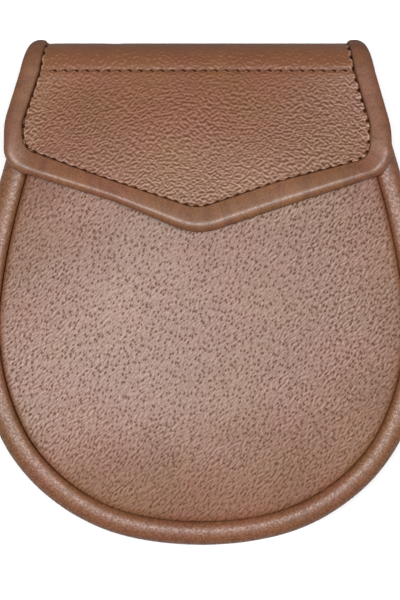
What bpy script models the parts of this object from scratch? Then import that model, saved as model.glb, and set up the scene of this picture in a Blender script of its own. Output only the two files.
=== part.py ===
"""A leather sporran pouch, lying on its back with its flap closed.

+X is the wearer's left, +Y is up when it is worn, and +Z points out of its front.
All sizes below are millimetres; the model itself is in metres.
"""
from math import atan2, cos, pi, radians, sin, tan

import bmesh
import bpy
from mathutils import Vector

MM = 0.001

# ---- driving dimensions ----
HALF_HEIGHT = 101.2  # from the middle of the pouch to its bottom edge
GAP = 0.3  # what touching pieces keep between them

# The pouch's edge seen from the front: tangent arcs from the bottom centre round to the side,
# which then runs straight up.
EDGE_ARCS = (  # radius, turn in degrees, steps
    (134, 11, 2),
    (81, 34, 7),
    (70, 19, 4),
    (102, 33, 6),
    (300, 9, 3),
)

ROLL_RADIUS = 4.9  # padded roll along the front seam and the back seam
ROLL_TOP_Y = 88.0
FRONT_ROLL_Z = 29.9  # middle of the front roll where y is 0
FRONT_SLOPE = -0.032  # the pouch gets thinner towards its mouth

WALL = 2.0  # leather of the front panel, the gusset and the strap loops
GUSSET_TOP_Y = 84.0
GUSSET_BOW = 2.5  # how far the gusset caves in halfway between the rolls

BACK_PANEL_Z = 7.0  # outer face of the back panel
BACK_PANEL_THICKNESS = 2.2
BACK_PANEL_TOP_Y = 88.0

PANEL_INSET = 2 * ROLL_RADIUS + 0.05  # front panel's edge, in from the pouch's edge
PANEL_EDGE_TOP = 3.6  # front panel's edge above the middle of the roll
PANEL_TOP_Y = 80.0
DOME_HEIGHT = 5.0
DOME_REACH = 55.0  # the padded front rises over this distance from its edge
DOME_FADE_START_Y = 40.0  # and sinks again from here up to the fold
SPINE_FOOT_Y = -18.0  # the front's faces run in to a line up its middle from here

FLAP_SHIFT = -1.6  # the flap is sewn on a little off centre
FLAP_LEATHER = 2.2
FLAP_LIFT = ROLL_RADIUS + 0.4  # underside of the flap above the middle of the front roll
FOLD_Y = 88.8  # the flap's front starts to fold back here
FRONT_FOLD_RADIUS = 9.0  # inside the leather
BACK_FOLD_RADIUS = 8.0
FRONT_TURN = FRONT_FOLD_RADIUS * pi / 2  # length of the flap in its front fold
BACK_TURN = BACK_FOLD_RADIUS * pi / 2

# The flap laid flat, measured from its middle and from FOLD_Y: its outer edge, and the seam
# inside the binding. Both go from the left end of the binding round the point to the right end.
FLAP_CORNERS = (  # edge x, edge y, edge radius, seam x, seam y, seam radius, steps up to here
    (-67.0, 22.5, 0, -59.5, 22.5, 0, 0),
    (-68.0, 14.1, 0, -60.6, 14.1, 0, 2),
    (-71.2, 0.0, 0, -62.8, 0.0, 0, 6),
    (-77.4, -25.0, 40, -69.9, -24.0, 10, 4),
    (-77.6, -38.7, 11, -69.9, -30.5, 7, 1),
    (-33.0, -52.6, 90, -38.0, -42.9, 90, 6),
    (0.0, -66.4, 24, 0.0, -56.2, 14, 3),
    (33.0, -55.2, 90, 33.0, -43.6, 90, 3),
    (78.2, -40.2, 11, 69.6, -33.0, 7, 6),
    (77.4, -25.0, 40, 69.8, -24.0, 10, 1),
    (71.2, 0.0, 0, 62.8, 0.0, 0, 4),
    (68.0, 14.1, 0, 60.6, 14.1, 0, 6),
    (67.0, 22.5, 0, 59.5, 22.5, 0, 2),
)
CORNER_STEPS = 4
FLAP_COLUMNS = 14

# The binding in cross-section: leather over a cord that lies along the flap's edge. It slopes
# down from the cord to the seam, where the flap's own leather ends.
BINDING_SECTION = (  # part of the way from edge to seam, height above the flap's underside
    (0.96, 0.0),
    (0.14, 0.1),
    (0.02, 1.1),
    (0.03, 2.4),
    (0.13, 3.5),
    (0.27, 4.1),
    (0.40, 4.1),
    (0.55, 3.5),
    (0.75, 2.5),
    (0.96, 1.8),
)
BINDING_LOW = 1.8  # the part of it above this height is pressed flatter over the top
BINDING_PRESSED = 0.67

# The tail goes on from there over the back fold and is sewn flat on the back panel.
TAIL_CORNERS = (  # half width, distance from FOLD_Y, steps up to here
    (58.0, 29.0, 3),
    (55.0, 35.1, 3),
    (55.0, 52.0, 3),
    (48.0, 59.3, 2),
)

STUD_Y = 40.0
STUD_RADIUS = 6.0
STUD_THICKNESS = 1.0

LOOP_X = 38.0  # middle of each strap loop
LOOP_WIDTH = 20.0
LOOP_PROFILE = (  # y, middle of the leather above the floor
    (14.0, BACK_PANEL_Z - GAP - WALL / 2),
    (21.0, BACK_PANEL_Z - GAP - WALL / 2),
    (26.0, 1.35),
    (46.0, 1.35),
    (51.0, BACK_PANEL_Z - GAP - WALL / 2),
    (58.0, BACK_PANEL_Z - GAP - WALL / 2),
)

LEATHERS = {  # red, green and blue, roughness
    "pigskin": ((0.36, 0.24, 0.19), 0.45),
    "roll_leather": ((0.25, 0.14, 0.09), 0.45),
    "gusset_leather": ((0.22, 0.13, 0.09), 0.55),
    "back_leather": ((0.26, 0.17, 0.12), 0.55),
    "flap_leather": ((0.27, 0.15, 0.10), 0.45),
    "binding_leather": ((0.23, 0.13, 0.09), 0.40),
}


# ---- helpers ----
def material(name, colour, roughness, metallic=0.0):
    made = bpy.data.materials.new(name)
    made.use_nodes = True
    shader = made.node_tree.nodes["Principled BSDF"]
    shader.inputs["Base Color"].default_value = (*colour, 1.0)
    shader.inputs["Roughness"].default_value = roughness
    shader.inputs["Metallic"].default_value = metallic
    return made


def leather(name):
    colour, roughness = LEATHERS[name]
    return material(name, colour, roughness)


def place(piece, finish):
    """Puts a finished piece in the sporran's collection."""
    PARTS.objects.link(piece)
    piece.data.materials.append(finish)
    if piece.type == "MESH":
        piece.data.shade_smooth()
        piece.data.set_sharp_from_angle(angle=radians(40))


def loft(name, rows, round_section=False):
    """A mesh through rows of points. A round section joins up and gets its two ends closed."""
    shape = bmesh.new()
    grid = [[shape.verts.new(Vector(point) * MM) for point in row] for row in rows]
    across = len(rows[0])
    for row, following in zip(grid, grid[1:]):
        for k in range(across if round_section else across - 1):
            n = (k + 1) % across
            shape.faces.new((row[k], following[k], following[n], row[n]))
    if round_section:
        shape.faces.new(grid[0])
        shape.faces.new(reversed(grid[-1]))
    bmesh.ops.remove_doubles(shape, verts=shape.verts, dist=1e-7)
    bmesh.ops.recalc_face_normals(shape, faces=shape.faces)
    mesh = bpy.data.meshes.new(name)
    shape.to_mesh(mesh)
    shape.free()
    return bpy.data.objects.new(name, mesh)


def thicken(piece, thickness, side, even=False):
    """Gives an open surface its leather: side -1 grows it against the normals, 1 along them."""
    shell = piece.modifiers.new("leather", "SOLIDIFY")
    shell.thickness = thickness * MM
    shell.offset = side
    shell.use_even_offset = even
    return piece


def face_up(piece):
    """Turns an open surface over where most of it looks down."""
    shape = bmesh.new()
    shape.from_mesh(piece.data)
    if sum(face.normal.z * face.calc_area() for face in shape.faces) < 0:
        bmesh.ops.reverse_faces(shape, faces=shape.faces)
    shape.to_mesh(piece.data)
    shape.free()
    return piece


# ---- the pouch's edge ----
def edge_half(inset, top_y):
    """The right half of the edge moved in by inset: (x, y, heading) from the bottom centre up."""
    x, y, heading = 0.0, inset - HALF_HEIGHT, 0.0
    stations = [(x, y, heading)]
    for radius, turn, steps in EDGE_ARCS:
        for _ in range(steps):
            following = heading + radians(turn / steps)
            x += (radius - inset) * (sin(following) - sin(heading))
            y += (radius - inset) * (cos(heading) - cos(following))
            heading = following
            stations.append((x, y, heading))
    side_steps = 5
    rise = (top_y - y) / side_steps
    for k in range(1, side_steps + 1):
        stations.append((x + k * rise / tan(heading), y + k * rise, heading))
    return stations


def edge(inset, top_y):
    """The whole edge from the left end of the mouth round the bottom to the right end: (x, y)."""
    half = [(x, y) for x, y, _ in edge_half(inset, top_y)]
    return [(-x, y) for x, y in reversed(half[1:])] + half


def front_roll_z(y):
    return FRONT_ROLL_Z + FRONT_SLOPE * y


PANEL_EDGE = edge_half(PANEL_INSET, FOLD_Y)


def dome(x, y):
    """How far the padded front stands above its own edge. The edge is convex, so the distance in
    from it is the least distance in from its tangents."""
    depth = min(
        (px - abs(x)) * sin(heading) - (py - y) * cos(heading) for px, py, heading in PANEL_EDGE
    )
    rise = min(max(depth / DOME_REACH, 0.0), 1.0)
    up = min(max((y - DOME_FADE_START_Y) / (FOLD_Y - DOME_FADE_START_Y), 0.0), 1.0)
    return DOME_HEIGHT * rise * (2 - rise) * (1 - up * up * (3 - 2 * up))


# ---- the pouch ----
def roll(name, middle_z):
    """A padded leather roll: a round tube along the seam."""
    route = bpy.data.curves.new(name, "CURVE")
    route.dimensions = "3D"
    route.bevel_depth = ROLL_RADIUS * MM
    route.bevel_resolution = 4
    route.use_fill_caps = True
    path = edge(ROLL_RADIUS, ROLL_TOP_Y)
    spline = route.splines.new("POLY")
    spline.points.add(len(path) - 1)
    for point, (x, y) in zip(spline.points, path):
        point.co = (x * MM, y * MM, middle_z(y) * MM, 1.0)
    return bpy.data.objects.new(name, route)


def gusset():
    """The side wall between the two rolls, caved in a little along its middle."""
    heights = (0.0, 0.25, 0.5, 0.75, 1.0)
    lines = []
    for part in heights:
        inset = ROLL_RADIUS + GUSSET_BOW * sin(pi * part)
        line = []
        for x, y in edge(inset, GUSSET_TOP_Y):
            low = 2 * ROLL_RADIUS + GAP
            high = front_roll_z(y) - ROLL_RADIUS - GAP
            line.append((x, y, low + part * (high - low)))
        lines.append(line)
    wall = loft("gusset", lines)
    return thicken(wall, WALL, 0)


def front_panel():
    """The domed front. Every station on its edge is joined to a spine up its middle."""
    parts = (0.0, 0.06, 0.16, 0.3, 0.46, 0.64, 0.82, 1.0)
    rows = []
    for x, y in edge(PANEL_INSET, PANEL_TOP_Y):
        spine_y = max(y, SPINE_FOOT_Y)
        row = []
        for part in parts:
            px, py = x * (1 - part), y + (spine_y - y) * part
            row.append((px, py, front_roll_z(py) + PANEL_EDGE_TOP + dome(px, py)))
        rows.append(row)
    return thicken(face_up(loft("front_panel", rows)), WALL, -1)


def back_panel():
    """A flat sheet inside the back roll."""
    outline = bpy.data.curves.new("back_panel", "CURVE")
    outline.dimensions = "2D"
    outline.fill_mode = "BOTH"
    outline.extrude = BACK_PANEL_THICKNESS / 2 * MM
    path = edge(PANEL_INSET, BACK_PANEL_TOP_Y)
    spline = outline.splines.new("POLY")
    spline.use_cyclic_u = True
    spline.points.add(len(path) - 1)
    for point, (x, y) in zip(spline.points, path):
        point.co = (x * MM, y * MM, 0.0, 1.0)
    panel = bpy.data.objects.new("back_panel", outline)
    panel.location.z = (BACK_PANEL_Z + BACK_PANEL_THICKNESS / 2) * MM
    return panel


# ---- the flap ----
def rounded(corners):
    """Points along a line whose corners are rounded: each corner is x, y, radius, steps."""
    points = [Vector(corners[0][:2])]
    for before, here, after in zip(corners, corners[1:], [*corners[2:], None]):
        start, corner = points[-1], Vector(here[:2])
        radius = here[2] if after else 0
        ends = [corner]
        if radius:
            inward = (Vector(before[:2]) - corner).normalized()
            onward = (Vector(after[:2]) - corner).normalized()
            half = inward.angle(onward) / 2
            reach = radius / tan(half)
            centre = corner + (inward + onward).normalized() * radius / sin(half)
            first = (corner + inward * reach - centre).normalized()
            last = (corner + onward * reach - centre).normalized()
            turns = [first.slerp(last, k / CORNER_STEPS) for k in range(CORNER_STEPS + 1)]
            ends = [centre + turn * radius for turn in turns]
        points += [start.lerp(ends[0], (k + 1) / here[3]) for k in range(here[3])]
        points += ends[1:]
    return points


def on_flap(x, along, height):
    """Where a point of the flat pattern lies on the closed flap: height is above its underside."""
    front_z = front_roll_z(FOLD_Y) + FLAP_LIFT - FRONT_FOLD_RADIUS  # middle of the front fold
    back_z = BACK_PANEL_Z - GAP + BACK_FOLD_RADIUS  # and of the back fold
    back_y = FOLD_Y + FRONT_FOLD_RADIUS - BACK_FOLD_RADIUS
    x += FLAP_SHIFT
    if along <= 0:
        y = FOLD_Y + along
        return x, y, front_roll_z(y) + FLAP_LIFT + dome(x, y) + height
    if along <= FRONT_TURN:
        angle = along / FRONT_FOLD_RADIUS
        reach = FRONT_FOLD_RADIUS + height
        return x, FOLD_Y + reach * sin(angle), front_z + reach * cos(angle)
    along -= FRONT_TURN
    top_run = front_z - back_z
    if along <= top_run:
        return x, FOLD_Y + FRONT_FOLD_RADIUS + height, front_z - along
    along -= top_run
    angle = min(along / BACK_FOLD_RADIUS, pi / 2)
    reach = BACK_FOLD_RADIUS + height
    tail = max(along - BACK_TURN, 0.0)
    return x, back_y + reach * cos(angle) - tail, back_z - reach * sin(angle)


FLAP_EDGE = rounded([(ex, ey, er, steps) for ex, ey, er, _, _, _, steps in FLAP_CORNERS])
FLAP_SEAM = rounded([(sx, sy, sr, steps) for _, _, _, sx, sy, sr, steps in FLAP_CORNERS])


def flap_panel():
    """One sheet from the back panel over the top and down to the point."""
    middle = len(FLAP_SEAM) // 2
    pairs = list(zip(FLAP_SEAM[: middle + 1], reversed(FLAP_SEAM[middle:])))
    corner = FLAP_SEAM[-1]
    for half_width, along, steps in TAIL_CORNERS:
        following = Vector((half_width, along))
        for k in range(1, steps + 1):
            right = corner.lerp(following, k / steps)
            pairs.insert(0, (Vector((-right.x, right.y)), right))
        corner = following
    rows = []
    for left, right in pairs:
        points = [left.lerp(right, k / FLAP_COLUMNS) for k in range(FLAP_COLUMNS + 1)]
        rows.append([on_flap(point.x, point.y, 0.0) for point in points])
    return thicken(face_up(loft("flap_panel", rows)), FLAP_LEATHER, 1)


def flap_binding():
    """The rolled leather edge along both sides and the point."""
    rows = []
    for outer, inner in zip(FLAP_EDGE, FLAP_SEAM):
        over_top = min(max(outer.y / FRONT_TURN, 0.0), 1.0)
        pressed = 1.0 - (1.0 - BINDING_PRESSED) * over_top
        row = []
        for part, height in BINDING_SECTION:
            at = outer.lerp(inner, part)
            if height > BINDING_LOW:
                height = BINDING_LOW + (height - BINDING_LOW) * pressed
            row.append(on_flap(at.x, at.y, height))
        rows.append(row)
    return loft("flap_binding", rows, round_section=True)


# ---- metal and loops ----
def snap_stud():
    """The press stud that holds the flap's point down, hidden between flap and front."""

    def middle_z(y):
        return front_roll_z(y) + (PANEL_EDGE_TOP + FLAP_LIFT) / 2 + dome(FLAP_SHIFT, y)

    rise = middle_z(STUD_Y + STUD_RADIUS) - middle_z(STUD_Y - STUD_RADIUS)
    bpy.ops.mesh.primitive_cylinder_add(
        vertices=32,
        radius=STUD_RADIUS * MM,
        depth=STUD_THICKNESS * MM,
        location=Vector((FLAP_SHIFT, STUD_Y, middle_z(STUD_Y))) * MM,
        rotation=(atan2(rise, 2 * STUD_RADIUS), 0.0, 0.0),
    )
    stud = bpy.context.object
    stud.name = "snap_stud"
    stud.users_collection[0].objects.unlink(stud)
    rim = stud.modifiers.new("rounded rim", "BEVEL")
    rim.width = 0.25 * MM
    rim.segments = 2
    rim.limit_method = "ANGLE"
    return stud


def strap_loop(name, middle_x):
    """A leather strip sewn on the back at both ends, with room for the belt strap behind it."""
    rows = [
        [(middle_x + side * LOOP_WIDTH / 2, y, z) for side in (-1, 1)] for y, z in LOOP_PROFILE
    ]
    return thicken(face_up(loft(name, rows)), WALL, 0, even=True)


for old in list(bpy.data.objects):
    bpy.data.objects.remove(old, do_unlink=True)
PARTS = bpy.data.collections.new("sporran_pouch")
bpy.context.scene.collection.children.link(PARTS)

place(front_panel(), leather("pigskin"))
place(roll("rim_roll", front_roll_z), leather("roll_leather"))
place(gusset(), leather("gusset_leather"))
place(roll("back_roll", lambda y: ROLL_RADIUS), leather("roll_leather"))
place(back_panel(), leather("back_leather"))
place(flap_panel(), leather("flap_leather"))
place(flap_binding(), leather("binding_leather"))
place(snap_stud(), material("stud_metal", (0.55, 0.43, 0.25), 0.35, metallic=1.0))
place(strap_loop("back_loop_left", LOOP_X), leather("back_leather"))
place(strap_loop("back_loop_right", -LOOP_X), leather("back_leather"))
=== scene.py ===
"""The looks of a leather sporran pouch, lying on its back on a pale floor with its flap closed.

Sizes are in millimetres and meshes in metres. +X is the wearer's left, +Y is up when the pouch
is worn, and +Z points out of its front.
"""

from math import ceil, cos, exp, pi, radians, sin, tan

import bpy
import numpy as np
from mathutils import Matrix, Vector, noise


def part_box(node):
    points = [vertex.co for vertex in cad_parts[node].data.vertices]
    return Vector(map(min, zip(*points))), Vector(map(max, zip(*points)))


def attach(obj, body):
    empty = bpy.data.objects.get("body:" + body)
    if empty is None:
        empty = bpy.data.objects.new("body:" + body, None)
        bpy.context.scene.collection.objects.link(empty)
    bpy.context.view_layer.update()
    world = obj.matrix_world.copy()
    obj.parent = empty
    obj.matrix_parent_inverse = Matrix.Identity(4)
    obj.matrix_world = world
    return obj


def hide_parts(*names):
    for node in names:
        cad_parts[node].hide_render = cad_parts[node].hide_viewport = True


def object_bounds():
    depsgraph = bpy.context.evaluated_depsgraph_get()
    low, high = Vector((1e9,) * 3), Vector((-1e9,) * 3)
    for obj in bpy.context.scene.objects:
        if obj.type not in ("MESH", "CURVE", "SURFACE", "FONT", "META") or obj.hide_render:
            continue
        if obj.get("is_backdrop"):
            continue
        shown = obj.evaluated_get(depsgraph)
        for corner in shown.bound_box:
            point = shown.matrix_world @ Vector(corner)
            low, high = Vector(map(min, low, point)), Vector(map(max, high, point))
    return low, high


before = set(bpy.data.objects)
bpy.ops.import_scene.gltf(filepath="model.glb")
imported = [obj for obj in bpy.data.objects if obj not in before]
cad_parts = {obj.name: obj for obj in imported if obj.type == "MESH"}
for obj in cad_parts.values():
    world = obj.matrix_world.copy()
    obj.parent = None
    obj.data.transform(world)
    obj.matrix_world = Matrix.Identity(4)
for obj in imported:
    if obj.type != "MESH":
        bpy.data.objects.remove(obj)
cad_low, cad_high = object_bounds()


# ---- Back panel ----
# The flat back of the pouch, a sheet of smooth cowhide 2.2 mm thick. It is cut to the pouch's
# outline and sewn to the back roll from the inside.
MM = 0.001
HALF_HEIGHT = -cad_low.y / MM  # from the middle of the pouch to its bottom edge
# The edge from the bottom centre round to the side: radius, turn in degrees.
EDGE_ARCS = ((134, 11), (81, 34), (70, 19), (102, 33), (300, 9))
SPACING = 1.2  # between the points of a fine outline
CORNER_POINTS = 3  # a corner is averaged over this many points each way
SIDE_STEPS = 60

back_low, back_high = (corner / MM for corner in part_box("back_panel"))
roll_low, roll_high = (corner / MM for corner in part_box("back_roll"))
ROLL_RADIUS = (roll_high.z - roll_low.z) / 2
PANEL_INSET = 2 * ROLL_RADIUS + 0.05

ROUND_EDGE = (  # a cut edge that has been rounded off: in from the edge, part of the thickness down
    (0.9, 0.0), (0.55, 0.04), (0.3, 0.12), (0.13, 0.27), (0.03, 0.5), (0.0, 0.75), (0.12, 1.0),
)
BACK_GIVE = 0.12
UNDERSIDE = (0.98, 0.9, 0.75, 0.5, 0.25, 0.0)  # rings under a sheet, as parts of the way out


def ramp(value, low, high):
    """How far a value has come from low to high, from 0 to 1."""
    return min(max((value - low) / (high - low), 0.0), 1.0)


def eased(value, low, high):
    """The same, starting and ending gently."""
    part = ramp(value, low, high)
    return part * part * (3 - 2 * part)


def pouch_edge(inset, top_y):
    """The pouch's edge moved in by inset, from the left end of the mouth round to the right."""
    x, y, heading = 0.0, inset - HALF_HEIGHT, 0.0
    half = [Vector((x, y))]
    for radius, turn in EDGE_ARCS:
        steps = ceil(radius * radians(turn) / SPACING)
        for _ in range(steps):
            following = heading + radians(turn) / steps
            x += (radius - inset) * (sin(following) - sin(heading))
            y += (radius - inset) * (cos(heading) - cos(following))
            heading = following
            half.append(Vector((x, y)))
    foot = half[-1]
    top = Vector((x + (top_y - y) / tan(heading), top_y))
    half += [foot.lerp(top, k / SIDE_STEPS) for k in range(1, SIDE_STEPS + 1)]
    return [Vector((-point.x, point.y)) for point in reversed(half[1:])] + half


def evened(points, spacing):
    """The same line with points at an even spacing, its two ends kept."""
    lengths = [0.0]
    for before, after in zip(points, points[1:]):
        lengths.append(lengths[-1] + (after - before).length)
    steps = max(1, round(lengths[-1] / spacing))
    even, k = [], 0
    for step in range(steps + 1):
        at = lengths[-1] * step / steps
        while k < len(points) - 2 and lengths[k + 1] < at:
            k += 1
        part = (at - lengths[k]) / max(lengths[k + 1] - lengths[k], 1e-9)
        even.append(points[k].lerp(points[k + 1], part))
    return even


def laid(name, rows, flat):
    """A grid primitive laid through rows of points. flat has the same points on the uncut
    leather, for the UV map, in mm as the rows are."""
    bpy.ops.object.select_all(action="DESELECT")
    bpy.ops.mesh.primitive_grid_add(
        x_subdivisions=len(rows[0]) - 1, y_subdivisions=len(rows) - 1, size=1
    )
    piece = bpy.context.object
    piece.name = piece.data.name = name
    places = np.array([tuple(point) for row in rows for point in row]) * MM
    piece.data.vertices.foreach_set("co", places.ravel())
    on_hide = np.array([tuple(point)[:2] for row in flat for point in row]) * MM
    corners = np.zeros(len(piece.data.loops), dtype=int)
    piece.data.loops.foreach_get("vertex_index", corners)
    piece.data.uv_layers.active.data.foreach_set("uv", on_hide[corners].ravel())
    return piece


def closed_up(piece):
    """Joins the grid's edges where they meet, and turns every face outwards."""
    bpy.ops.object.mode_set(mode="EDIT")
    bpy.ops.mesh.select_all(action="SELECT")
    bpy.ops.mesh.remove_doubles(threshold=1e-6)
    bpy.ops.mesh.normals_make_consistent(inside=False)
    bpy.ops.object.mode_set(mode="OBJECT")
    bpy.ops.object.shade_smooth()
    return piece


def inward_sides(outline):
    """At each point of a closed outline, the direction straight in from its edge."""
    sides = []
    for k, point in enumerate(outline):
        along = outline[(k + 1) % len(outline)] - outline[k - 1]
        sides.append(Vector((-along.y, along.x)).normalized())
    turn = sum(a.x * b.y - a.y * b.x for a, b in zip(outline, outline[1:] + outline[:1]))
    return sides if turn > 0 else [-side for side in sides]


def leather_sheet(
    name, outline, thickness, place, rings,
    middle=(0.0, 0.0), pull=None, pull_reach=1.0, rounding=ROUND_EDGE,
):
    """A sheet cut to a closed flat outline and laid in place(x, y, height above its underside).
    Its faces take material 0 on the grain side and 1 on the flesh side. pull is how far the seam
    draws the edge down at each point, and "inside" keeps the distance in from the edge."""
    middle = Vector(middle)
    pull = pull or [0.0] * len(outline)
    edge = list(zip(outline, inward_sides(outline), pull))
    steps = [(k / rings, rounding[0][0], 0.0) for k in range(rings + 1)]
    steps += [(1.0, inset, down) for inset, down in rounding[1:]]
    steps += [(reach, rounding[-1][0], 1.0) for reach in UNDERSIDE]
    rows, flat, inside = [], [], []
    for reach, inset, down in steps:
        row, under = [], []
        for point, side, drawn in [*edge, edge[0]]:
            start = point + side * inset
            spot = middle.lerp(start, reach)
            depth = inset + (start - spot).length
            height = (thickness - drawn * exp(-depth / pull_reach)) * (1 - down)
            row.append(place(spot.x, spot.y, height))
            under.append(spot)
            inside.append(depth * MM)
        rows.append(row)
        flat.append(under)
    piece = laid(name, rows, flat)
    piece.data.attributes.new("inside", "FLOAT", "POINT").data.foreach_set("value", inside)
    for face in piece.data.polygons[(rings + len(rounding) - 2) * len(outline) :]:
        face.material_index = 1
    return closed_up(piece)


def node(tree, kind, inputs=None, **settings):
    """A shader node with its settings and inputs. An input is a value or another node's output."""
    made = tree.nodes.new("ShaderNode" + kind)
    for name, value in settings.items():
        setattr(made, name, value)
    for name, value in (inputs or {}).items():
        if isinstance(value, bpy.types.NodeSocket):
            tree.links.new(value, made.inputs[name])
        else:
            made.inputs[name].default_value = value
    return made


def worked(tree, operation, *values):
    """The values taken through one operation, one after another."""
    total = values[0]
    for value in values[1:]:
        total = node(tree, "Math", {0: total, 1: value}, operation=operation).outputs[0]
    return total


def summed(tree, *values):
    return worked(tree, "ADD", *values)


def product(tree, *values):
    return worked(tree, "MULTIPLY", *values)


def moved(tree, place, operation, by):
    """A place with a vector operation done to it."""
    return node(tree, "VectorMath", {0: place, 1: by}, operation=operation).outputs[0]


def graded(tree, value, low, high, to_low=0.0, to_high=1.0):
    """The value eased from one range into another."""
    inputs = {"Value": value, "From Min": low, "From Max": high, "To Min": to_low, "To Max": to_high}
    return node(tree, "MapRange", inputs, interpolation_type="SMOOTHSTEP").outputs["Result"]


def mixed(tree, part, first, second, blend="MIX"):
    """Two colours mixed."""
    inputs = {0: part, 6: (*first, 1.0) if isinstance(first, tuple) else first}
    inputs[7] = (*second, 1.0) if isinstance(second, tuple) else second
    return node(tree, "Mix", inputs, data_type="RGBA", blend_type=blend).outputs[2]


def group(name, inputs, outputs):
    """An empty node group: inputs and outputs are names with their socket kinds."""
    tree = bpy.data.node_groups.new(name, "ShaderNodeTree")
    for label, kind in inputs.items():
        tree.interface.new_socket(label, in_out="INPUT", socket_type="NodeSocket" + kind)
    for label, kind in outputs.items():
        tree.interface.new_socket(label, in_out="OUTPUT", socket_type="NodeSocket" + kind)
    return tree, tree.nodes.new("NodeGroupInput").outputs, tree.nodes.new("NodeGroupOutput").inputs


def placed(tree, made, inputs):
    """A node group put in a material's tree."""
    return node(tree, "Group", inputs, node_tree=made).outputs


def clouds(tree, place, scale, detail, roughness=0.5, **settings):
    """Noise whose marks are about 1 / scale wide."""
    inputs = {"Vector": place, "Scale": scale, "Detail": detail, "Roughness": roughness}
    return node(tree, "TexNoise", inputs, **settings).outputs


def on_object(tree):
    """A material's place on its piece, in metres."""
    return node(tree, "TexCoord").outputs["Object"]


def along_axis(tree, place, axis):
    return node(tree, "SeparateXYZ", {0: place}).outputs[axis]


def unsigned(tree, value):
    return node(tree, "Math", {0: value}, operation="ABSOLUTE").outputs[0]


def hide_tone_group():
    """How a hide's colour drifts: darker and lighter, and from a pink to a yellow brown."""
    tree, given, asked = group("Hide tone", {"Vector": "Vector"}, {"Tone": "Float", "Hue": "Float"})
    broad = clouds(tree, given["Vector"], 30.0, 2.0)[0]
    close = clouds(tree, given["Vector"], 220.0, 2.0)[0]
    both = summed(tree, product(tree, broad, 0.65), product(tree, close, 0.35))
    tree.links.new(graded(tree, both, 0.36, 0.64), asked["Tone"])
    elsewhere = moved(tree, given["Vector"], "ADD", (0.31, 0.17, 0.05))
    tree.links.new(graded(tree, clouds(tree, elsewhere, 42.0, 1.0)[0], 0.32, 0.68), asked["Hue"])
    return tree


def fine_grain_group():
    """The small close grain of dressed leather, from 0 in its creases to 1."""
    tree, given, asked = group("Fine grain", {"Vector": "Vector", "Size": "Float"}, {"Height": "Float"})
    scale = worked(tree, "DIVIDE", 1.0, given["Size"])
    cells = node(tree, "TexVoronoi", {"Vector": given["Vector"], "Scale": scale}, feature="F1")
    domed = worked(tree, "SUBTRACT", 1.0, cells.outputs["Distance"])
    fine = clouds(tree, given["Vector"], scale, 3.0, 0.6)[0]
    both = summed(tree, product(tree, domed, 0.4), product(tree, fine, 0.6))
    tree.links.new(graded(tree, both, 0.3, 0.75), asked["Height"])
    return tree


HIDE_TONE = hide_tone_group()
FINE_GRAIN = fine_grain_group()


def fine_grain(tree, size):
    """The height of the fine grain on a piece, its cells about size metres wide."""
    return placed(tree, FINE_GRAIN, {"Vector": on_object(tree), "Size": size})["Height"]


def new_material(name):
    made = bpy.data.materials.new(name)
    made.use_nodes = True
    return made, made.node_tree, made.node_tree.nodes["Principled BSDF"]


SHADE = (0.87, 0.86, 0.85)  # what a hide's darker stretches are multiplied by
PINK_BROWN = (0.97, 0.92, 0.98)
YELLOW_BROWN = (0.93, 0.97, 0.825)
# The colour of pores, and of the painted shade along the flap's cut edge at its seam.
PIT_AND_SEAM_SHADE_BROWN = (0.050, 0.021, 0.011)
# Pale leather: scuffs, and a painted highlight where the flap's edge catches the light.
PALE_SCUFF_AND_HIGHLIGHT = (0.36, 0.22, 0.16)  # leather scuffed dry
LOW_DULLNESS = 0.16  # how much rougher the low parts of a grain are, where nothing rubs them
PIT_DULLNESS = 0.9  # the same in dark pits and seams
PIT_FINISH = 0.42  # how much of its clear finish is left in them


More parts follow.
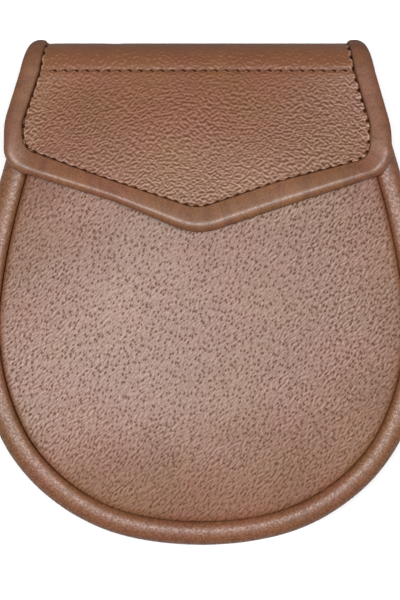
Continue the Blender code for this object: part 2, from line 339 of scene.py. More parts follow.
def leather(
    name, relief, crease_tone_and_shade, crown_tone_and_light, depth, dull,
    polished=None, worn=None, scuffs_and_edge_highlight=None, specular=0.5, finished=None,
):
    """A dressed leather. relief(tree) gives the height of its grain from 0 to 1 and a mask of
    dark pits, or on the flap of painted shade along its cut edge at the seam. Its colours low and
    high are its creases' and its crowns': the grain's own tone, with painted shade in the creases
    and painted light on the crowns. depth is the grain's in mm.
    Its roughness is dull, and polished where worn(tree) is 1. It is pale where its scuff mask is,
    which on the flap is scuffs and a painted highlight where its edge catches the light.
    finished is its clear finish: the heights between which it grows to full and what is left below
    them, how much there is where it is least and most worn, and its roughness."""
    made, tree, shader = new_material(name)
    height, pits_and_seam_shade = relief(tree)
    drift = placed(tree, HIDE_TONE, {"Vector": on_object(tree)})
    # The grain's own tone, with painted shade in its creases and painted light on its crowns.
    colour = mixed(tree, height, crease_tone_and_shade, crown_tone_and_light)
    colour = mixed(tree, 1.0, colour, mixed(tree, drift["Tone"], SHADE, (1.0, 1.0, 1.0)), "MULTIPLY")
    colour = mixed(tree, 1.0, colour, mixed(tree, drift["Hue"], PINK_BROWN, YELLOW_BROWN), "MULTIPLY")
    finish = graded(tree, worn(tree), 0, 1, dull, polished) if worn else dull
    finish = summed(tree, graded(tree, height, 0, 1, LOW_DULLNESS, 0.0), finish)
    if scuffs_and_edge_highlight:
        colour = mixed(tree, scuffs_and_edge_highlight(tree), colour, PALE_SCUFF_AND_HIGHLIGHT)
    if pits_and_seam_shade is not None:
        colour = mixed(tree, pits_and_seam_shade, colour, PIT_AND_SEAM_SHADE_BROWN)
        finish = summed(tree, product(tree, pits_and_seam_shade, PIT_DULLNESS), finish)
    tree.links.new(colour, shader.inputs["Base Color"])
    tree.links.new(finish, shader.inputs["Roughness"])
    bump = node(tree, "Bump", {"Strength": 1.0, "Distance": depth * MM, "Height": height})
    tree.links.new(bump.outputs[0], shader.inputs["Normal"])
    shader.inputs["Specular IOR Level"].default_value = specular
    if finished:
        (low, high, left), (least, most), roughness = finished
        kept = graded(tree, worn(tree), 0, 1, least, most) if worn else most
        kept = product(tree, kept, graded(tree, height, low, high, left, 1.0))
        if pits_and_seam_shade is not None:
            kept = product(tree, kept, graded(tree, pits_and_seam_shade, 0, 0.3, 1.0, PIT_FINISH))
        tree.links.new(kept, shader.inputs["Coat Weight"])
        shader.inputs["Coat Roughness"].default_value = roughness
    return made


def smooth_relief(tree):
    """Smooth cowhide, its grain worn away in patches."""
    wear = clouds(tree, on_object(tree), 90.0, 5.0, 0.7)[0]
    return product(tree, fine_grain(tree, 0.0007), graded(tree, wear, 0.3, 0.6, 0.6, 1.0)), None


def flesh_relief(tree):
    """The raw, napped side of a hide."""
    return clouds(tree, on_object(tree), 1500.0, 4.0, 0.8)[0], None


BACK_LEATHER = leather(
    "back leather", smooth_relief, crease_tone_and_shade=(0.1035, 0.0393, 0.0186), crown_tone_and_light=(0.1976, 0.0813, 0.0400),
    depth=0.04, dull=0.5,
)
FLESH_SIDE = leather(
    "flesh side", flesh_relief, crease_tone_and_shade=(0.16, 0.09, 0.05), crown_tone_and_light=(0.33, 0.21, 0.13),
    depth=0.12, dull=0.85, specular=0.2,
)


def panel_outline(inset, top_y):
    """The closed outline of a front or a back, its two corners at the mouth rounded off."""
    side = pouch_edge(inset, top_y)
    outline = evened(side + side[:1], SPACING)[:-1]
    near = range(-CORNER_POINTS, CORNER_POINTS + 1)
    return [
        sum((outline[(k + j) % len(outline)] for j in near), Vector((0.0, 0.0))) / len(near)
        for k in range(len(outline))
    ]


def waves(x, y, seed, width):
    """How uneven a leather is at a place, from -1 to 1, in waves about this wide."""
    return noise.noise(Vector((x, y, seed)) / width)


def on_back(x, y, height):
    """The back lies face down, so its grain side is the lower one."""
    return x, y, back_high.z - height + BACK_GIVE * waves(x, y, 3.0, 26)


outline = panel_outline(PANEL_INSET, back_high.y)
back_panel = leather_sheet("back_panel_leather", outline, back_high.z - back_low.z, on_back, rings=30)
back_panel.data.materials.append(BACK_LEATHER)
back_panel.data.materials.append(FLESH_SIDE)
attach(back_panel, "root")
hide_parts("back_panel")


# ---- Strap loops ----
# Two strips of the back's leather, 20 mm wide, sewn flat to the back at both ends with a box of
# stitches. The belt strap passes behind their raised middles.
loop_low, loop_high = (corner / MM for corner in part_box("back_loop_left"))
LOOP_WALL = 2.0
LOOP_RAMPS = (21.0, 26.0, 46.0, 51.0)  # y where the strip leaves the back and is clear of it
LOOP_CLEAR = 4.35  # how far the middle stands off
LOOP_OUT = 38.0  # from the middle of the back to the middle of a loop
LOOP_CORNER = 2.5


def loop_drop(y):
    """How far the strip stands off the back at y."""
    start, clear, bent, end = LOOP_RAMPS
    return LOOP_CLEAR * min(eased(y, start, clear), eased(y, end, bent))


def on_loop(x, y, height):
    """height counts towards the floor, because the grain side faces it."""
    slope = (loop_drop(y + 0.1) - loop_drop(y - 0.1)) / 0.2
    lean = 1 / (1 + slope * slope) ** 0.5
    out = height - LOOP_WALL
    return x, y - slope * lean * out, loop_high.z - LOOP_WALL - loop_drop(y) - lean * out


def rounded_box(low_x, low_y, high_x, high_y, radius):
    """A closed outline with round corners, running anticlockwise from the bottom left."""
    corners = ((high_x, low_y, -90), (high_x, high_y, 0), (low_x, high_y, 90), (low_x, low_y, 180))
    points = []
    for x, y, start in corners:
        centre_x = x - radius if x == high_x else x + radius
        centre_y = y - radius if y == high_y else y + radius
        for k in range(7):
            angle = radians(start + 15 * k)
            points.append(Vector((centre_x, centre_y)) + Vector((cos(angle), sin(angle))) * radius)
    return evened(points + points[:1], SPACING / 2)[:-1]


for node_name, middle_x in (("back_loop_left", LOOP_OUT), ("back_loop_right", -LOOP_OUT)):
    half = (loop_high.x - loop_low.x) / 2
    shape = rounded_box(middle_x - half, loop_low.y, middle_x + half, loop_high.y, LOOP_CORNER)
    middle = (middle_x, (loop_low.y + loop_high.y) / 2)
    loop = leather_sheet(node_name + "_leather", shape, LOOP_WALL, on_loop, rings=14, middle=middle)
    loop.data.materials.append(BACK_LEATHER)
    loop.data.materials.append(FLESH_SIDE)
    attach(loop, "root")
    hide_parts(node_name)


# ---- Back roll ----
# A strip of thin leather folded round a padded cord and sewn into the back's seam. The pouch
# lies on it. Its two ends are tucked in under the fold of the flap.
ROLL_TOP_Y = roll_high.y
SECTION_STEPS = 28
CAP = ((0.0, 1.0), (0.35, 0.94), (0.65, 0.76), (0.88, 0.47), (1.0, 0.0))  # along, part of the radius
CAP_REACH = 3.2
UNEVEN_BY = 0.08  # how much its radius goes up and down
UNEVEN_RUN = 9.0
CREST_FLATNESS = 0.1  # how much lower its crest is than a round one, as part of the radius


def roll_rows(middle_z, lean, seed):
    """The roll's rounds from one end to the other, and the same on the uncut leather. lean(x) is
    how far in its crest leans, over the panel beside it."""
    path = pouch_edge(ROLL_RADIUS, ROLL_TOP_Y - CAP_REACH)
    path = [Vector((point.x, point.y, middle_z(point.y))) for point in evened(path, SPACING)]
    runs = [after - before for before, after in zip([path[0], *path], [*path[1:], path[-1]])]
    stations = [(spot, run.normalized(), 1.0) for spot, run in zip(path, runs)]
    for end, way in ((0, -1), (-1, 1)):
        spot, run, _ = stations[end]
        caps = [(spot + run * way * CAP_REACH * along, run, part) for along, part in CAP[1:]]
        stations = caps[::-1] + stations if end == 0 else stations + caps
    rows, flat = [], []
    for k, (centre, run, part) in enumerate(stations):
        outward = Vector((run.y, -run.x, 0.0)).normalized()
        row, under = [], []
        for step in range(SECTION_STEPS + 1):
            angle = pi + 2 * pi * (step % SECTION_STEPS) / SECTION_STEPS
            across, up = cos(angle), sin(angle)
            uneven = noise.noise(Vector((k * SPACING / UNEVEN_RUN, across * 0.6 + seed, up * 0.6)))
            radius = part * (ROLL_RADIUS - UNEVEN_BY * (uneven + 1))
            leaned = across * radius - lean(centre.x) * part * max(up, 0.0)
            up *= 1 - CREST_FLATNESS * max(up, 0.0) ** 3
            row.append(centre + outward * leaned + Vector((0.0, 0.0, up * radius)))
            under.append((k * SPACING, step / SECTION_STEPS * 2 * pi * ROLL_RADIUS))
        rows.append(row)
        flat.append(under)
    return rows, flat


def creases_group():
    """Creases where leather is bent round a roll: they run across it, along the UV map's V."""
    tree, given, asked = group("Cross creases", {"Spacing": "Float"}, {"Height": "Float"})
    often = worked(tree, "DIVIDE", 1.0, given["Spacing"])
    rate = node(tree, "CombineXYZ", {0: often, 1: product(tree, often, 0.22)}).outputs[0]
    flat_place = moved(tree, node(tree, "UVMap").outputs[0], "MULTIPLY", rate)
    inputs = {"Vector": flat_place, "Scale": 1.0, "Detail": 3.0, "Distortion": 0.5}
    bend = node(tree, "TexNoise", inputs)
    tree.links.new(graded(tree, bend.outputs[0], 0.32, 0.6), asked["Height"])
    return tree


CREASES = creases_group()


def bent_relief(tree, grain, spacing, creased):
    """Leather bent round something: its fine grain, and creases that are this part of it."""
    creases = placed(tree, CREASES, {"Spacing": spacing})["Height"]
    fine = fine_grain(tree, grain)
    return summed(tree, product(tree, fine, 1 - creased), product(tree, creases, creased))


def roll_relief(tree):
    return bent_relief(tree, 0.0009, 0.0016, 0.15), None


ROLL_LEATHER = leather(
    "roll leather", roll_relief, crease_tone_and_shade=(0.1167, 0.0425, 0.0191), crown_tone_and_light=(0.2277, 0.0916, 0.0437),
    depth=0.06, dull=0.40, specular=0.28, finished=((0.1, 1.1, 0.3), (0.0, 0.8), 0.38),
)

back_roll = closed_up(laid("back_roll_leather", *roll_rows(lambda y: ROLL_RADIUS, lambda x: 0.0, 5.0)))
back_roll.data.materials.append(ROLL_LEATHER)
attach(back_roll, "root")
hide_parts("back_roll")


# ---- Rim roll ----
# The same roll in the front's seam, which the photograph shows all round the front. It follows
# the front down towards the mouth, where the pouch is thinner.
FRONT_ROLL_Z = 29.9  # middle of the front roll where y is 0
FRONT_SLOPE = -0.032
CREST_LEAN = 0.5
SIDE_LEAN = (0.8, 0.2)  # how much more it leans at the pouch's left and right
SIDES = (-8.0, 26.0, 56.0)  # the middle, and how far from it the sides begin and are reached


def front_roll_z(y):
    return FRONT_ROLL_Z + FRONT_SLOPE * y


def sideness(x):
    """0 at the pouch's bottom, rising to 1 at its sides."""
    return eased(abs(x - SIDES[0]), SIDES[1], SIDES[2])


def front_lean(x):
    return CREST_LEAN + SIDE_LEAN[x > SIDES[0]] * sideness(x)


rim_roll = closed_up(laid("rim_roll_leather", *roll_rows(front_roll_z, front_lean, 0.0)))
rim_roll.data.materials.append(ROLL_LEATHER)
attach(rim_roll, "root")
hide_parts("rim_roll")


# ---- Gusset ----
# The side wall, a long strip of soft leather sewn between the two rolls. It caves in along its
# middle, where it folds when the pouch is pressed flat, and its bends gather into small creases.
WALL = 2.0
GUSSET_TOP_Y = 84.0
GUSSET_BOW = 2.5  # how far in it caves
FOLD_BOW = 0.5  # how much further in it goes at its fold
FOLD_WIDTH = 0.09
BENDS = 0.55  # how deep its bends are, and how long each is
BEND_RUN = 7.0
CREASED = 0.35  # the same for the small creases between them
CREASE_RUN = 2.6
GUSSET_WIDTH = 18.0  # of the strip before it is sewn in
GUSSET_HEIGHTS = [k / 16 for k in range(17)]
GUSSET_TIPS = ((0.5, 0.85), (0.85, 0.5), (1.0, 0.0))  # its rounded ends: along, part of the wall


def gusset_point(x_y, side, part, k):
    """side is -1 on the outer face and 1 on the inner."""
    low = (2 - CREST_FLATNESS) * ROLL_RADIUS
    high = front_roll_z(x_y[0].y) - ROLL_RADIUS
    z = low + part * (high - low)
    middle = sin(pi * part)
    fold = GUSSET_BOW * middle + FOLD_BOW * exp(-(((part - 0.5) / FOLD_WIDTH) ** 2))
    fold += BENDS * middle * (noise.noise(Vector((k * SPACING / BEND_RUN, z / 16, 0.0))) + 0.4)
    fold += CREASED * middle * noise.noise(Vector((k * SPACING / CREASE_RUN, z / 12, 7.0)))
    spot = x_y[0] + x_y[1] * (fold + side * WALL / 2)
    return spot.x, spot.y, z


line = evened(pouch_edge(ROLL_RADIUS, GUSSET_TOP_Y), SPACING)
stations = []
for k, spot in enumerate(line):
    run = line[min(k + 1, len(line) - 1)] - line[max(k - 1, 0)]
    stations.append((spot, Vector((-run.y, run.x)).normalized(), 1.0, k))
for end, direction in ((0, -1), (-1, 1)):
    spot, inward, _, k = stations[end]
    run = Vector((inward.y, -inward.x)) * direction
    tips = [(spot + run * reach, inward, part, k) for reach, part in GUSSET_TIPS]
    stations = tips[::-1] + stations if end == 0 else stations + tips
rows, flat = [], []
for spot, inward, part, k in stations:
    section = [(-part, height) for height in GUSSET_HEIGHTS]
    section += [(part, height) for height in reversed(GUSSET_HEIGHTS)] + [(-part, GUSSET_HEIGHTS[0])]
    rows.append([gusset_point((spot, inward), side, height, k) for side, height in section])
    flat.append([(k * SPACING, height * GUSSET_WIDTH) for side, height in section])


def gusset_relief(tree):
    return bent_relief(tree, 0.0013, 0.0022, 0.45), None


GUSSET_LEATHER = leather(
    "gusset leather", gusset_relief, crease_tone_and_shade=(0.0941, 0.0355, 0.0158), crown_tone_and_light=(0.1882, 0.0748, 0.0353),
    depth=0.1, dull=0.5,
)
gusset = closed_up(laid("gusset_leather", rows, flat))
gusset.data.materials.append(GUSSET_LEATHER)
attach(gusset, "root")
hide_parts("gusset")


# ---- Front panel ----
# The domed front, a sheet of pigskin whose bristle pores show as dark dots. Its edge turns down
# into the seam beside the rim roll, and it is free at the mouth, under the flap.
PANEL_EDGE_TOP = 3.6
PANEL_TOP_Y = 80.0
MOUTH_Y = 72.0  # the panel's edge is free above this
TUCKED_IN = 0.4  # how far its edge goes in under the roll
SIDE_SET_IN = (0.6, 0.15)  # how much less at the pouch's left and right
TURNED_DOWN = 0.9  # how far down the edge turns
FRONT_GIVE = 0.3
FRONT_DENTS = 0.1
DOME_HEIGHT = 5.0
DOME_REACH = 48.0
DOME_FADE_START_Y = 42.0
FOLD_Y = 88.8
DOME_EDGE = pouch_edge(PANEL_INSET, FOLD_Y)[::5]
DOME_SIDES = [(start, (end - start).normalized()) for start, end in zip(DOME_EDGE, DOME_EDGE[1:])]


def dome(x, y):
    """How far the front stands above its own edge."""
    depth = min(run.x * (y - start.y) - run.y * (x - start.x) for start, run in DOME_SIDES)
    rise = ramp(depth, 0.0, DOME_REACH)
    up = ramp(y, DOME_FADE_START_Y, FOLD_Y)
    return DOME_HEIGHT * rise * (2 - rise) * (1 - up * up)


def on_front(x, y, height):
    give = FRONT_GIVE * waves(x, y, 0.0, 30) + FRONT_DENTS * waves(x, y, 9.0, 11)
    return x, y, front_roll_z(y) + PANEL_EDGE_TOP - WALL + height + dome(x, y) + give


RIDGE_ANGLE = 48  # how the hide's fine ridges slant
RIDGE_RUN = 2.0
RIDGE_WIDTH = 0.80
PORE_ANGLE = 62  # how its pores lean
PORE_CELL = 1.88  # the room that a pore has
PORE_RATES = (0.78, 1.26)  # cells in that room along the lean and across it
PORE_CORE = 0.1
PORE_RIM = 0.78
PORE_SHADE = 0.3  # how much darker its colour is
RIPPLE_SHIFT = 0.82  # from a ridge to the crease beside it, in widths
RIPPLE_RISE = 1.25


def strayed(tree, place, size, amount):
    """The place moved about in waves of this size."""
    shift = clouds(tree, place, 1 / size, 1.0, noise_dimensions="2D")["Color"]
    shift = moved(tree, shift, "SUBTRACT", (0.5, 0.5, 0.5))
    shift = moved(tree, shift, "MULTIPLY", (2 * amount, 2 * amount, 0.0))
    return moved(tree, place, "ADD", shift)


def how_far(tree, centre, reach):
    """How far out a point is, where 1 is the edge of an oval round the centre, in mm."""
    away = moved(tree, on_object(tree), "SUBTRACT", (centre[0] * MM, centre[1] * MM, 0.0))
    scaled = moved(tree, away, "MULTIPLY", (1 / reach[0] / MM, 1 / reach[1] / MM, 0.0))
    return node(tree, "VectorMath", {0: scaled}, operation="LENGTH").outputs["Value"]


def ripples_group():
    """Short wavy ridges along X, their run and width in the units of the place: 0 in their
    creases, 1 on top."""
    sizes = {"Vector": "Vector", "Run": "Float", "Width": "Float"}
    tree, given, asked = group("Ripples", sizes, {"Height": "Float"})
    size = node(tree, "CombineXYZ", {0: given["Run"], 1: given["Width"], 2: 1.0}).outputs[0]
    crests = moved(tree, given["Vector"], "DIVIDE", size)
    creases = moved(tree, crests, "ADD", (0.0, RIPPLE_SHIFT, 0.0))
    high, low = [clouds(tree, at, 1.0, 0.0, noise_dimensions="2D")[0] for at in (crests, creases)]
    rise = summed(tree, product(tree, high, RIPPLE_RISE), product(tree, low, -RIPPLE_RISE), 0.5)
    tree.links.new(rise, asked["Height"])
    return tree


RIPPLES = ripples_group()


def rippled(tree, place, run, width):
    return placed(tree, RIPPLES, {"Vector": place, "Run": run, "Width": width})["Height"]


def pores(tree, place):
    """Soft dots, one to a cell, longer along X, some fainter than others."""
    rates = (PORE_RATES[0] / PORE_CELL, PORE_RATES[1] / PORE_CELL, 0.0)
    inputs = {"Vector": moved(tree, place, "MULTIPLY", rates), "Scale": 1.0}
    cells = node(tree, "TexVoronoi", inputs, voronoi_dimensions="2D")
    dot = graded(tree, cells.outputs["Distance"], PORE_CORE / PORE_CELL, PORE_RIM / PORE_CELL, 1.0, 0.0)
    chance = node(tree, "SeparateColor", {0: cells.outputs["Color"]}).outputs[0]
    return product(tree, dot, graded(tree, chance, 0.0, 0.8, 0.2, 1.0))


def turned_place(tree, angle):
    """The place on the piece in mm, its X turned up by the angle."""
    size = (1 / MM, 1 / MM, 1 / MM)
    inputs = {"Vector": on_object(tree), "Rotation": (0.0, 0.0, radians(-angle)), "Scale": size}
    return node(tree, "Mapping", inputs).outputs[0]


def pigskin_relief(tree):
    """Bristle pores on a hide with fine slanting ridges. The ridges fade towards its middle, and
    its bottom is plumper, with fainter pores and stronger ridges."""
    up = along_axis(tree, on_object(tree), "Y")
    slanted = strayed(tree, turned_place(tree, RIDGE_ANGLE), 11.0, 1.1)
    patches = clouds(tree, slanted, 1 / 14, 2.0, noise_dimensions="2D")[0]
    outer = summed(tree, how_far(tree, (-8.0, -8.0), (62.0, 70.0)), patches)
    steep = graded(tree, outer, 0.9, 1.7, 0.26, 0.54)
    steep = summed(tree, steep, graded(tree, up, -0.080, -0.040, 0.28, 0.0))
    ridges = summed(tree, rippled(tree, slanted, RIDGE_RUN, RIDGE_WIDTH), -0.5)
    plump = graded(tree, up, -0.085, -0.03, 0.50, 0.42)
    fine = product(tree, fine_grain(tree, 0.0006), 0.32)
    skin = summed(tree, plump, product(tree, ridges, steep), fine)
    holes = pores(tree, strayed(tree, turned_place(tree, PORE_ANGLE), 2.0, 0.3))
    holes = product(tree, holes, graded(tree, up, -0.082, -0.035, 0.85, 1.0))
    floors = graded(tree, outer, 0.9, 1.7, 0.38, 0.22)
    height = product(tree, skin, graded(tree, holes, 0, 1, 1.0, floors))
    return height, product(tree, holes, PORE_SHADE)


def rubbed_front(tree):
    """The front is polished where it is rubbed most, by the arm that swings past it."""
    return graded(tree, how_far(tree, (-75.0, -10.0), (190.0, 120.0)), 0.1, 0.8, 1.0, 0.0)


PIGSKIN = leather(
    "pigskin", pigskin_relief, crease_tone_and_shade=(0.1007, 0.0374, 0.0165), crown_tone_and_light=(0.2110, 0.0845, 0.0402),
    depth=0.06, dull=0.48, polished=0.35, worn=rubbed_front, specular=0.28,
    finished=((0.1, 1.02, 0.15), (0.86, 1.0), 0.40),
)
outline = panel_outline(PANEL_INSET - TUCKED_IN, PANEL_TOP_Y)
outline = [
    point + side * SIDE_SET_IN[point.x > SIDES[0]] * sideness(point.x)
    for point, side in zip(outline, inward_sides(outline))
]
turned = [TURNED_DOWN if point.y < MOUTH_Y else 0.0 for point in outline]
front_panel = leather_sheet(
    "front_panel_leather", outline, WALL, on_front, rings=56, pull=turned, pull_reach=0.4,
)
front_panel.data.materials.append(PIGSKIN)
front_panel.data.materials.append(FLESH_SIDE)
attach(front_panel, "root")
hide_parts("front_panel")


# ---- Flap ----
# One sheet of pebbled leather, sewn to the back, folded over the mouth and cut to a blunt point.
# A line of stitches runs across it where it starts to fold.
FLAP_SHIFT = -1.6  # the flap is sewn on a little off centre
FLAP_THICKNESS = 2.2
FLAP_LIFT = ROLL_RADIUS + 0.4
FLAP_GIVE = 0.25
PRESSED_IN = 0.3  # how deep the line of stitches sinks
PRESSED_WIDTH = 0.9
TAIL_GAP = 0.3  # between its tail and the back
FRONT_FOLD_DEPTH = 10.05
BACK_FOLD_RADIUS = 8.0
FRONT_TURN = FRONT_FOLD_DEPTH * pi / 2
BACK_TURN = BACK_FOLD_RADIUS * pi / 2
FOLD_START = radians(9)  # how far the flap already leans back where it starts to fold
FRONT_FOLD_RADIUS = FRONT_FOLD_DEPTH / (1 - sin(FOLD_START))
STITCH = 4.3
ARC_STEPS = 16
STRAIGHT_STEPS = 6

# The flap laid flat: its outer edge, and the seam inside the binding, from the left end of the
# binding round the point to the right end.
FLAP_CORNERS = (  # edge x, edge y, edge radius, seam x, seam y, seam radius, steps up to here
    (-66.4, 22.5, 0, -60.6, 22.5, 0, 0),
    (-67.2, 14.1, 0, -60.6, 14.1, 0, 2),
    (-71.0, 0.0, 0, -63.0, 0.0, 0, 6),
    (-77.3, -20.5, 26, -70.0, -21.0, 12, 4),
    (-77.6, -38.7, 11, -69.9, -31.2, 7, 1),
    (-33.0, -52.6, 90, -38.0, -42.9, 90, 6),
    (0.0, -66.4, 24, 0.0, -55.6, 17, 3),
    (33.0, -55.2, 90, 33.0, -44.4, 90, 3),
    (78.4, -40.2, 11, 69.2, -35.0, 7, 6),
    (77.6, -22.5, 32, 69.0, -21.5, 12, 1),
    (71.2, 0.0, 0, 62.8, 0.0, 0, 4),
    (67.6, 14.1, 0, 60.6, 14.1, 0, 6),
    (66.8, 22.5, 0, 60.6, 22.5, 0, 2),
)
TAIL_CORNERS = (  # the half of the flap behind, sewn to the back: x, y, radius, steps up to here
    (60.6, 22.5, 0, 0),
    (58.6, 29.0, 4, 1),
    (55.0, 35.1, 4, 1),
    (55.0, 52.0, 5, 2),
    (48.0, 59.3, 5, 1),
)


def rounded(corners):
    """Points along a line whose corners are rounded: each corner is x, y, radius, steps."""
    points = [Vector(corners[0][:2])]
    for before, here, after in zip(corners, corners[1:], [*corners[2:], None]):
        start, corner = points[-1], Vector(here[:2])
        radius = here[2] if after else 0
        ends = [corner]
        if radius:
            inward = (Vector(before[:2]) - corner).normalized()
            onward = (Vector(after[:2]) - corner).normalized()
            half = inward.angle(onward) / 2
            reach = radius / tan(half)
            centre = corner + (inward + onward).normalized() * radius / sin(half)
            first = (corner + inward * reach - centre).normalized()
            last = (corner + onward * reach - centre).normalized()
            ends = [centre + first.slerp(last, k / ARC_STEPS) * radius for k in range(ARC_STEPS + 1)]
        steps = here[3] * STRAIGHT_STEPS
        points += [start.lerp(ends[0], (k + 1) / steps) for k in range(steps)]
        points += ends[1:]
    return points


def on_flap(x, along, height):
    """Where a point of the flat pattern lies on the closed flap: height is above its underside."""
    x += FLAP_SHIFT
    if along <= 0:
        y = FOLD_Y + along
        return x, y, front_roll_z(y) + FLAP_LIFT + dome(x, y) + height
    centre_y = FOLD_Y + FRONT_FOLD_DEPTH - FRONT_FOLD_RADIUS
    front_z = front_roll_z(FOLD_Y) + FLAP_LIFT - FRONT_FOLD_RADIUS * cos(FOLD_START)
    if along <= FRONT_TURN:
        angle = FOLD_START + (pi / 2 - FOLD_START) * along / FRONT_TURN
        reach = FRONT_FOLD_RADIUS + height
        return x, centre_y + reach * sin(angle), front_z + reach * cos(angle)
    along -= FRONT_TURN
    back_z = back_low.z - TAIL_GAP + BACK_FOLD_RADIUS
    top_run = front_roll_z(FOLD_Y) + FLAP_LIFT - FRONT_FOLD_DEPTH - back_z
    if along <= top_run:
        z = front_z + (back_z - front_z) * along / top_run
        return x, FOLD_Y + FRONT_FOLD_DEPTH + height, z
    along -= top_run
    angle = min(along / BACK_FOLD_RADIUS, pi / 2)
    reach = BACK_FOLD_RADIUS + height
    back_y = FOLD_Y + FRONT_FOLD_DEPTH - BACK_FOLD_RADIUS
    tail_run = max(along - BACK_TURN, 0.0)
    return x, back_y + reach * cos(angle) - tail_run, back_z - reach * sin(angle)


def flap_surface(x, along, height):
    """The same, with the give of real leather, and pressed in along the line of stitches."""
    if height <= 0:
        return on_flap(x, along, height)
    give = FLAP_GIVE * waves(x, along, 4.0, 24) * ramp(-along, 0.0, 20.0)
    pressed = PRESSED_IN * exp(-((along / PRESSED_WIDTH) ** 2)) if height > FLAP_THICKNESS / 2 else 0.0
    return on_flap(x, along, height + give - pressed)


FLAP_EDGE = rounded([(ex, ey, er, steps) for ex, ey, er, _, _, _, steps in FLAP_CORNERS])
FLAP_SEAM = rounded([(sx, sy, sr, steps) for _, _, _, sx, sy, sr, steps in FLAP_CORNERS])

seam_length = sum((after - before).length for before, after in zip(FLAP_SEAM, FLAP_SEAM[1:]))
SEAM_STITCHES = round(seam_length / STITCH)
POINTS_A_STITCH = 8
HOLE_AT = 0.78  # part of the way along each stitch
seam = evened(FLAP_SEAM, seam_length / (SEAM_STITCHES * POINTS_A_STITCH))
other_side = [(-x, y, radius, steps) for x, y, radius, steps in reversed(TAIL_CORNERS)]
tail = rounded([*TAIL_CORNERS, *other_side])
outline = seam + evened(tail, SPACING)[1:-1]
# The thread pulls the leather's edge in and down at each hole, which leaves it scalloped.
tug = [(0.5 + 0.5 * cos(2 * pi * (k / POINTS_A_STITCH - HOLE_AT))) ** 2 for k in range(len(seam))]
tug += [0.0] * (len(outline) - len(seam))
SCALLOP = 0.25
DRAWN_DOWN = 0.55
FLAP_ROUNDING = (
    (0.5, 0.0), (0.25, 0.015), (0.1, 0.05), (0.03, 0.11), (0.0, 0.25), (0.0, 0.75), (0.12, 1.0),
)
sides = inward_sides(outline)
outline = [point + side * SCALLOP * part for point, side, part in zip(outline, sides, tug)]

ROWS_SLANT = 0.28  # how much the rows of its grain climb, at the left
ROWS_SLANT_FROM = 20.0
PEBBLE_RUN = 1.3
PEBBLE_WIDTH = 0.93


def from_edge(tree):
    """How far in from the sheet's cut edge a point is, in metres."""
    return node(tree, "Attribute", attribute_name="inside").outputs["Fac"]


def pebbled_relief(tree):
    """Small bumps in wavy rows across the flap. Near the fold only the highest are left."""
    flat_place = moved(tree, node(tree, "UVMap").outputs[0], "MULTIPLY", (1 / MM, 1 / MM, 0.0))
    to_left = product(tree, along_axis(tree, flat_place, "X"), -1.0)
    climb = product(tree, summed(tree, to_left, -ROWS_SLANT_FROM), ROWS_SLANT)
    climb = node(tree, "CombineXYZ", {1: worked(tree, "MAXIMUM", climb, 0.0)}).outputs[0]
    rows_place = moved(tree, flat_place, "ADD", climb)
    pebbles = rippled(tree, strayed(tree, rows_place, 30.0, 3.0), PEBBLE_RUN, PEBBLE_WIDTH)
    along = along_axis(tree, flat_place, "Y")
    rows = product(tree, summed(tree, pebbles, -0.5), graded(tree, along, -13.0, 8.0, 0.88, 0.06))
    rows = product(tree, rows, graded(tree, along, -44.0, -18.0, 0.78, 1.0))
    sparse = product(tree, graded(tree, pebbles, 0.65, 1.0, 0.0, 0.6), graded(tree, along, -16.0, 0.0))
    sparse = product(tree, sparse, graded(tree, along, 3.0, 9.0, 1.0, 0.0))
    height = summed(tree, 0.45, rows, sparse, product(tree, fine_grain(tree, 0.0006), 0.12))
    height = product(tree, height, graded(tree, unsigned(tree, along), 0.05, 0.4, 0.5, 1.0))
    # The mask darkens the flap within 0.2 mm of its cut edge: painted shade of the groove at its seam.
    return height, graded(tree, from_edge(tree), 0.0, 0.0002, 0.4, 0.0)


def scuffed_and_lit_edge(tree):
    """The flap's edge is pale in spots, where the seam holds it up: partly scuffs, partly a painted
    highlight where the edge catches the light.
    """
    inside = from_edge(tree)
    outer = graded(tree, inside, 0.0, 0.0004)
    inner = graded(tree, inside, 0.0005, 0.0013, 1.0, 0.0)
    where = on_object(tree)
    spots = graded(tree, clouds(tree, where, 800.0, 1.0)[0], 0.43, 0.6, 0.0, 0.8)
    at_sides = graded(tree, unsigned(tree, along_axis(tree, where, "X")), 0.045, 0.060, 0.12, 1.0)
    return product(tree, outer, inner, spots, at_sides)


def handled_flap(tree):
    """The flap is polished at its point and its right corner, where it is lifted, and dull where
    it folds."""
    flat_place = node(tree, "SeparateXYZ", {0: node(tree, "UVMap").outputs[0]}).outputs
    corner = graded(tree, flat_place["X"], 0.01, 0.065, 0.0, -0.031)
    return graded(tree, summed(tree, flat_place["Y"], corner), -0.048, 0.0, 1.0, 0.0)


FLAP_LEATHER = leather(
    "flap leather", pebbled_relief, crease_tone_and_shade=(0.0979, 0.0360, 0.0155), crown_tone_and_light=(0.2334, 0.0935, 0.0451),
    depth=0.24, dull=0.50, polished=0.38, worn=handled_flap, scuffs_and_edge_highlight=scuffed_and_lit_edge, specular=0.2,
    finished=((0.25, 1.0, 0.0), (0.55, 1.0), 0.42),
)
flap_panel = leather_sheet(
    "flap_panel_leather", outline, FLAP_THICKNESS, flap_surface, rings=60,
    pull=[DRAWN_DOWN * part for part in tug], rounding=FLAP_ROUNDING,
)
flap_panel.data.materials.append(FLAP_LEATHER)
flap_panel.data.materials.append(FLESH_SIDE)
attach(flap_panel, "root")
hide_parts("flap_panel")


